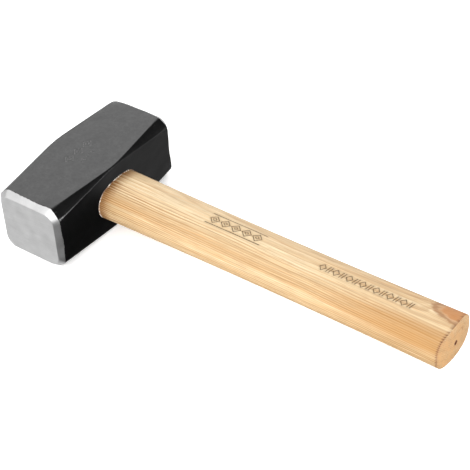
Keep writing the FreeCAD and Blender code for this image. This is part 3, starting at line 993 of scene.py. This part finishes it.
# %% Warm butt and knot
warm_butt = calc(tree, "MULTIPLY", remap(tree, x, 160.0, 225.0), remap(tree, y, -3.0, -8.0))
warm_butt = calc(tree, "MULTIPLY", warm_butt, remap(tree, z, 1.0, 5.0))
colour = mixed(tree, calc(tree, "MULTIPLY", warm_butt, 0.6), colour, (0.38, 0.185, 0.048, 1))
knot = calc(tree, "MULTIPLY_ADD", mottle, 0.3, calc(tree, "SUBTRACT", knot_distance(tree, place), 0.3))
heart = remap(tree, knot, 0.95, 0.6)
outline = calc(tree, "MULTIPLY", remap(tree, knot, 1.12, 0.95), remap(tree, knot, 0.7, 0.9))
colour = mixed(tree, calc(tree, "MULTIPLY", heart, 0.9), colour, (0.385, 0.15, 0.032, 1))
colour = mixed(tree, calc(tree, "MULTIPLY", outline, 0.75), colour, (0.24, 0.095, 0.022, 1))
print("with the knot:", len(tree.nodes), "nodes")

# %% [markdown]
# Two numbers stored on the handle's points finish it: the dark torn rim of the butt and the
# scorched halo round the brand. They are written further down, once the grooves are cut. The
# lacquer on top is thin, so its coat is weak and the fibres still show in the gloss.

# %% Rim, halo and satin coat
rim = add(tree, "ShaderNodeAttribute", attribute_name="rim").outputs["Fac"]
torn = calc(tree, "MULTIPLY", rim, calc(tree, "MULTIPLY_ADD", line, 2.0, 0.25), clamp=True)
colour = mixed(tree, torn, colour, (0.16, 0.065, 0.025, 1))
halo = add(tree, "ShaderNodeAttribute", attribute_name="scorch").outputs["Fac"]
colour = mixed(tree, calc(tree, "MULTIPLY", halo, 0.36), colour, (0.22, 0.14, 0.07, 1))
tree.links.new(colour, shader.inputs["Base Color"])
tree.links.new(calc(tree, "MULTIPLY_ADD", fibre, 0.16, 0.4), shader.inputs["Roughness"])
shader.inputs["Specular IOR Level"].default_value = 0.3
shader.inputs["Coat Weight"].default_value = 0.08
shader.inputs["Coat Roughness"].default_value = 0.3
relief = calc(tree, "SUBTRACT", fibre, calc(tree, "MULTIPLY", pores, 0.8))
tree.links.new(raised(tree, relief, 0.02), shader.inputs["Normal"])
print("long grain:", len(tree.nodes), "nodes")

# %% [markdown]
# The end grain at the butt and on the tenon drinks more lacquer, so it is a little redder and
# duller, with its pores as dots. It reads the same rings as the long grain, so the lines meet.

# %% End grain
end_grain, tree, shader, place = start_finish("end_grain")
colour, line, fibre = grain(tree, place)
mottle = rough(tree, stretched(tree, place, (0.2, 0.35, 0.35)), detail=4.0, roughness=0.6)
colour = mixed(tree, remap(tree, mottle, 0.35, 0.68, 0.3, 0.9), colour, (0.55, 0.31, 0.13, 1))
rim = add(tree, "ShaderNodeAttribute", attribute_name="rim").outputs["Fac"]
torn = calc(tree, "MULTIPLY", rim, calc(tree, "MULTIPLY_ADD", line, 0.8, 0.1))
colour = mixed(tree, torn, colour, (0.27, 0.12, 0.05, 1))
dots = remap(tree, rough(tree, stretched(tree, place, (0.2, 3.6, 3.6)), detail=2.0), 0.58, 0.7)
colour = mixed(tree, calc(tree, "MULTIPLY", dots, 0.35), colour, (0.3, 0.15, 0.07, 1))
x, y, z = apart(tree, place)
from_axis = calc(tree, "SQRT", calc(tree, "ADD", calc(tree, "MULTIPLY", y, y), calc(tree, "MULTIPLY", z, z)))
# painted shade: the inside of the butt's centre hole is darkened
painted_hole_shade = calc(tree, "MULTIPLY", remap(tree, from_axis, 1.7, 1.1), remap(tree, x, 30.0, 60.0))
colour = mixed(tree, painted_hole_shade, colour, (0.13, 0.045, 0.02, 1))
tree.links.new(colour, shader.inputs["Base Color"])
tree.links.new(calc(tree, "MULTIPLY_ADD", mottle, 0.2, 0.45), shader.inputs["Roughness"])
shader.inputs["Specular IOR Level"].default_value = 0.25
tree.links.new(raised(tree, calc(tree, "SUBTRACT", mottle, dots), 0.05), shader.inputs["Normal"])
print("end grain:", len(tree.nodes), "nodes")

# %% [markdown]
# The shaved curl at the neck is raw, almost white wood in tufts, with brown between them. The
# grooves of the brand are charred an uneven dark brown.

# %% Raw fibres and char
raw_fibres, tree, shader, place = start_finish("raw_fibres")
strands = rough(tree, stretched(tree, place, (0.5, 0.85, 0.85)), detail=3.0, roughness=0.6)
tufts = rough(tree, place, 0.28, detail=2.0)
white = calc(tree, "MULTIPLY", remap(tree, strands, 0.42, 0.54), remap(tree, tufts, 0.4, 0.52, 0.15, 1.0))
colour = mixed(tree, white, (0.2, 0.09, 0.04, 1), (0.86, 0.8, 0.7, 1))
tree.links.new(colour, shader.inputs["Base Color"])
tree.links.new(calc(tree, "MULTIPLY_ADD", strands, 0.2, 0.7), shader.inputs["Roughness"])
tree.links.new(raised(tree, strands, 0.08), shader.inputs["Normal"])

char, tree, shader, place = start_finish("branded_char")
soot = rough(tree, stretched(tree, place, (0.6, 1.8, 1.8)), detail=4.0, roughness=0.65)
colour = mixed(tree, remap(tree, soot, 0.35, 0.65), (0.06, 0.038, 0.012, 1), (0.17, 0.11, 0.045, 1))
tree.links.new(colour, shader.inputs["Base Color"])
tree.links.new(calc(tree, "MULTIPLY_ADD", soot, 0.2, 0.6), shader.inputs["Roughness"])
tree.links.new(raised(tree, soot, 0.04), shader.inputs["Normal"])
print("made", raw_fibres.name, "and", char.name)

# %% [markdown]
# The faces of the handle are told apart by where they lie and look. Those that look along the
# handle are end grain, and so is the hole in the butt. The narrow ring just below the head is
# the raw curl. All others are long grain.

# %% Give the handle its finishes
for finish in (hickory, end_grain, raw_fibres, char):
    handle.data.materials.append(finish)
END_GRAIN, RAW = 1, 2
for polygon in handle.data.polygons:
    place_x = polygon.center.x / MM
    radial = math.hypot(polygon.center.y, polygon.center.z - AXIS_HEIGHT * MM) / MM
    facing = abs(polygon.normal.x)
    if facing > 0.8 or radial < 2 and place_x > 200:
        polygon.material_index = END_GRAIN
    elif GRIP_START - 0.02 < place_x < GRIP_START + BURR_WIDTH:
        polygon.material_index = RAW
print("handle finishes:", [finish.name for finish in handle.data.materials])

# %% [markdown]
# Now the handle gets its cuts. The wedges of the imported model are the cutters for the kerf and
# the slots they sit in, so every wedge fits its own hole exactly, and the brand's prisms bring
# their charred finish to the grooves they leave. The steel wedges cut first: if the kerf came
# before the slots that cross it, thin walls would stay where the cutters share a face.

# %% Cut the kerf, the slots and the brand
brand_cutter.data.materials.append(char)
wedges = [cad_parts[name] for name in ("wooden_wedge", "steel_wedge_1", "steel_wedge_2")]
cutters = [welded_copy(wedge) for wedge in wedges[1:]] + [welded_copy(wedges[0]), brand_cutter]
cut_with(handle, cutters)
for cutter in cutters:
    discard(cutter)
smooth_below(handle, 40)
print(f"handle with its cuts: {len(handle.data.polygons)} faces")

# %% [markdown]
# Heat browns the wood round a brand, and lacquer gathers in the torn rim of the butt. Both
# depend on a distance, so each point of the handle gets a number that falls off with it: the
# finishes read these numbers as the halo and the rim.

# %% Scorch round the brand and rim of the butt
HALO_WIDTH, RIM_WIDTH = 0.75, 0.8
points = np.array([vertex.co for vertex in handle.data.vertices]) / MM
strokes = np.array(BRANDED)
halo = np.zeros(len(points))
near = (points[:, 2] > AXIS_HEIGHT + 6) & (points[:, 0] > RULE_START - 5)
gaps = np.linalg.norm(points[near, None, :2] - strokes[None, :, :], axis=2).min(axis=1)
halo[near] = np.exp(-(gaps / HALO_WIDTH) ** 2)
write_number(handle, "scorch", halo)
rim = np.zeros(len(points))
near = points[:, 0] > BUTT_END - 5
gaps = np.linalg.norm(points[near, None, :] - (sharp + [0, 0, AXIS_HEIGHT])[None, :, :], axis=2).min(axis=1)
rim[near] = np.exp(-(gaps / RIM_WIDTH) ** 2)
write_number(handle, "rim", rim)
print(f"scorched points: {(halo > 0.5).sum()}, points on the rim: {(rim > 0.5).sum()}")

# %% [markdown]
# ## The wedges
# Three wedges show at the far side of the eye: one of hardwood along the oval and two barbed
# steel ones across it, all hammered flush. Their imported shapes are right, so they stay and
# only get finishes and a fine bevel: darker, closer wood, and steel with hammer marks and a
# trace of rust.

# %% Hardwood of the wooden wedge
beech, tree, shader, place = start_finish("wedge_hardwood")
lines = rough(tree, stretched(tree, place, (0.5, 1.2, 6.0)), detail=3.0, roughness=0.6)
flecks = remap(tree, rough(tree, stretched(tree, place, (1.0, 1.5, 5.0)), 1.3, detail=2.0), 0.58, 0.68)
colour = mixed(tree, remap(tree, lines, 0.3, 0.7), (0.27, 0.13, 0.055, 1), (0.42, 0.235, 0.11, 1))
colour = mixed(tree, calc(tree, "MULTIPLY", flecks, 0.5), colour, (0.16, 0.075, 0.03, 1))
tree.links.new(colour, shader.inputs["Base Color"])
tree.links.new(calc(tree, "MULTIPLY_ADD", lines, 0.2, 0.55), shader.inputs["Roughness"])
tree.links.new(raised(tree, lines, 0.05), shader.inputs["Normal"])

# %% Steel of the two wedges
wedge_steel, tree, shader, place = start_finish("wedge_steel")
dents = rough(tree, place, 0.5, detail=2.0)
grime = rough(tree, place, 0.9, detail=5.0, roughness=0.65)
colour = mixed(tree, remap(tree, grime, 0.35, 0.62), (0.46, 0.46, 0.465, 1), (0.25, 0.245, 0.24, 1))
rust = remap(tree, rough(tree, place, 0.6, detail=5.0, roughness=0.7), 0.62, 0.74)
colour = mixed(tree, calc(tree, "MULTIPLY", rust, 0.7), colour, (0.22, 0.09, 0.04, 1))
tree.links.new(colour, shader.inputs["Base Color"])
tree.links.new(calc(tree, "MULTIPLY_ADD", rust, -0.8, 1.0), shader.inputs["Metallic"])
tree.links.new(calc(tree, "MULTIPLY_ADD", grime, 0.3, 0.28), shader.inputs["Roughness"])
tree.links.new(raised(tree, grime, 0.02, raised(tree, dents, 0.25)), shader.inputs["Normal"])

# %% Put the finishes on the wedges
FINE_EDGE = 0.12
for wedge, finish in zip(wedges, (beech, wedge_steel, wedge_steel)):
    if wedge.material_slots:
        wedge.material_slots[0].material = finish
    else:
        wedge.data.materials.append(finish)
    bevel = wedge.modifiers.new("fine_edge", "BEVEL")
    bevel.width = FINE_EDGE * MM
    bevel.segments = 2
    bevel.limit_method = "ANGLE"
print("wedges:", [wedge.name for wedge in wedges])

# %% [markdown]
# ## Fix the new pieces to the frame
# Nothing on this hammer moves, so both new skins ride on the one body. Each stands for the
# imported piece it replaces, which is hidden.

# %% Ride and replace
for piece, node, slot in ((head, "head", "head_steel"), (handle, "handle", "handle_wood")):
    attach(piece, BODY)
    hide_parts(node)

# %% [markdown]
# ## The table and the light
# The hammer lies on a plain white table that glows a little, so it stays white up to the wood
# and shadows are thin. Black lacquer is a mirror, though: a white table and a pale handle would
# both show in it as light patches. A studio would shade them with flags. Here the two are
# simply not seen by gloss.

# %% Floor
FLOOR_HALF = 6.0
FLOOR_DROP = 0.1
shape = bmesh.new()
corners = [(-1, -1), (1, -1), (1, 1), (-1, 1)]
shape.faces.new([shape.verts.new((FLOOR_HALF * x, FLOOR_HALF * y, -FLOOR_DROP * MM)) for x, y in corners])
floor = new_piece("table_top", shape)
paper, tree, shader, place = start_finish("pale_table")
tooth = rough(tree, place, 0.4, detail=3.0)
tree.links.new(mixed(tree, tooth, (0.9, 0.9, 0.9, 1), (0.92, 0.92, 0.92, 1)), shader.inputs["Base Color"])
shader.inputs["Roughness"].default_value = 0.8
shader.inputs["Specular IOR Level"].default_value = 0.1
shader.inputs["Emission Color"].default_value = (1, 1, 1, 1)
shader.inputs["Emission Strength"].default_value = 0.4
floor.data.materials.append(paper)
floor.visible_glossy = False
handle.visible_glossy = False
print(f"table: {2 * FLOOR_HALF:.0f} m wide")

# %% [markdown]
# A black card lies beside the head, just under the table, where the side by the handle and the
# lower facets look. Only gloss sees it and it throws no shadow. It is a painted shadow: in the
# lacquer's reflection it stands in for the table's shade beside the head and under the handle.

# %% Dark card: a painted shadow seen only in reflections
SHADE_CARD = ((22.0, -58.0), (320.0, -58.0), (320.0, 14.0), (22.0, 14.0))
shape = bmesh.new()
shape.faces.new([shape.verts.new((x * MM, y * MM, -0.5 * MM)) for x, y in SHADE_CARD])
shade_card = new_piece("shade_card_sheet", shape)
black, tree, shader, place = start_finish("shade_card_black")
shader.inputs["Base Color"].default_value = (0.01, 0.01, 0.01, 1)
shader.inputs["Specular IOR Level"].default_value = 0.0
shade_card.data.materials.append(black)
shade_card.visible_camera = shade_card.visible_diffuse = shade_card.visible_shadow = False
print(f"dark card: {SHADE_CARD[2][0] - SHADE_CARD[0][0]:.0f} x {SHADE_CARD[2][1] - SHADE_CARD[0][1]:.0f} mm")

# %% [markdown]
# Four soft lights are so far away that only direction and width count. One from behind on the
# left puts the grey sheen on the upper cheek. One from the front on the left lights the wood's
# near side and the chamfer. A wide one from the right fills the matt surfaces and isn't seen in
# gloss, and a narrow one shows in the gloss alone, as a line along the head's edges.

# %% Lights
def big_light(name, direction, strength, spread_degrees, on_matt=True, on_gloss=True):
    """A soft light from far away; direction points from the hammer to the light."""
    lamp = bpy.data.lights.new(name, "SUN")
    lamp.energy = strength
    lamp.angle = math.radians(spread_degrees)
    light = bpy.data.objects.new(name, lamp)
    light.visible_diffuse = on_matt
    light.visible_glossy = on_gloss
    bpy.context.scene.collection.objects.link(light)
    light.rotation_euler = Vector(direction).to_track_quat("Z", "Y").to_euler()


big_light("sheen_light", (-0.46, 0.59, 0.66), 1.9, 64)
big_light("front_light", (-0.46, -0.57, 0.68), 1.52, 76)
big_light("fill_light", (0.7, -0.3, 0.6), 2.1, 120, on_gloss=False)
big_light("rim_light", (0.94, 0.34, 0.0), 2.4, 12, on_matt=False)

# %% [markdown]
# The studio's walls are the world's background, and their brightness depends only on the
# direction. A window at the front left lights the corner of the chamfer, and all grows darker
# towards the right, so the facets there fall to black. No film curve is used, so white stays
# white.

# %% Studio walls
world = bpy.data.worlds.new("studio")
bpy.context.scene.world = world
world.use_nodes = True
world.cycles.sampling_method = "NONE"
tree = world.node_tree
x, y, z = apart(tree, add(tree, "ShaderNodeTexCoord").outputs["Generated"])
ceiling = remap(tree, x, -0.2, 0.3, 0.3, 0.03)
window = calc(tree, "MULTIPLY", remap(tree, y, -0.3, -0.65, 0.0, 2.8), remap(tree, x, -0.3, 0.2))
ceiling = calc(tree, "ADD", ceiling, window)
below = remap(tree, x, -0.3, 0.5, 1.0, 0.28)
sky = add(tree, "ShaderNodeMix", {0: remap(tree, z, 0.06, 0.16), 2: 1.0, 3: ceiling}).outputs[0]
walls = add(tree, "ShaderNodeMix", {0: remap(tree, z, -0.04, -0.12), 2: sky, 3: below}).outputs[0]
tree.links.new(walls, tree.nodes["Background"].inputs["Strength"])
tree.nodes["Background"].inputs["Color"].default_value = (1, 1, 1, 1)
bpy.context.scene.view_settings.view_transform = "Standard"

# %% [markdown]
# ## The camera
# A long lens looks down on the hammer from the butt's side, with the nearer striking face at
# the lower left. The camera is set by where it looks, from which side and how high, by a small
# roll, and by its distance.

# %% Camera
AIM = Vector((100.0, 0.0, AXIS_HEIGHT)) * MM
AZIMUTH, ELEVATION, ROLL = (math.radians(angle) for angle in (38.34, 41.49, -4.04))
DISTANCE, SIDE_STEP, RISE = 898.25 * MM, 1.56 * MM, 4.82 * MM
back = Vector((math.sin(AZIMUTH) * math.cos(ELEVATION), -math.cos(AZIMUTH) * math.cos(ELEVATION),
               math.sin(ELEVATION)))
level = Vector((math.cos(AZIMUTH), math.sin(AZIMUTH), 0))
upright = back.cross(level)
right = math.cos(ROLL) * level + math.sin(ROLL) * upright
up = math.cos(ROLL) * upright - math.sin(ROLL) * level
lens = bpy.data.cameras.new("camera")
lens.lens = 128.36
lens.sensor_width = 36
lens.clip_start = 0.05
camera = bpy.data.objects.new("camera", lens)
bpy.context.scene.collection.objects.link(camera)
turn = Matrix((right, up, back)).transposed().to_4x4()
camera.matrix_world = Matrix.Translation(AIM + SIDE_STEP * right + RISE * up + DISTANCE * back) @ turn
bpy.context.scene.camera = camera
print("camera at", [round(value, 3) for value in camera.location])

# %% [markdown]
# ## Last step
# The view layer is updated once more before the frame is closed.

# %% Update and finish
bpy.context.view_layer.update()
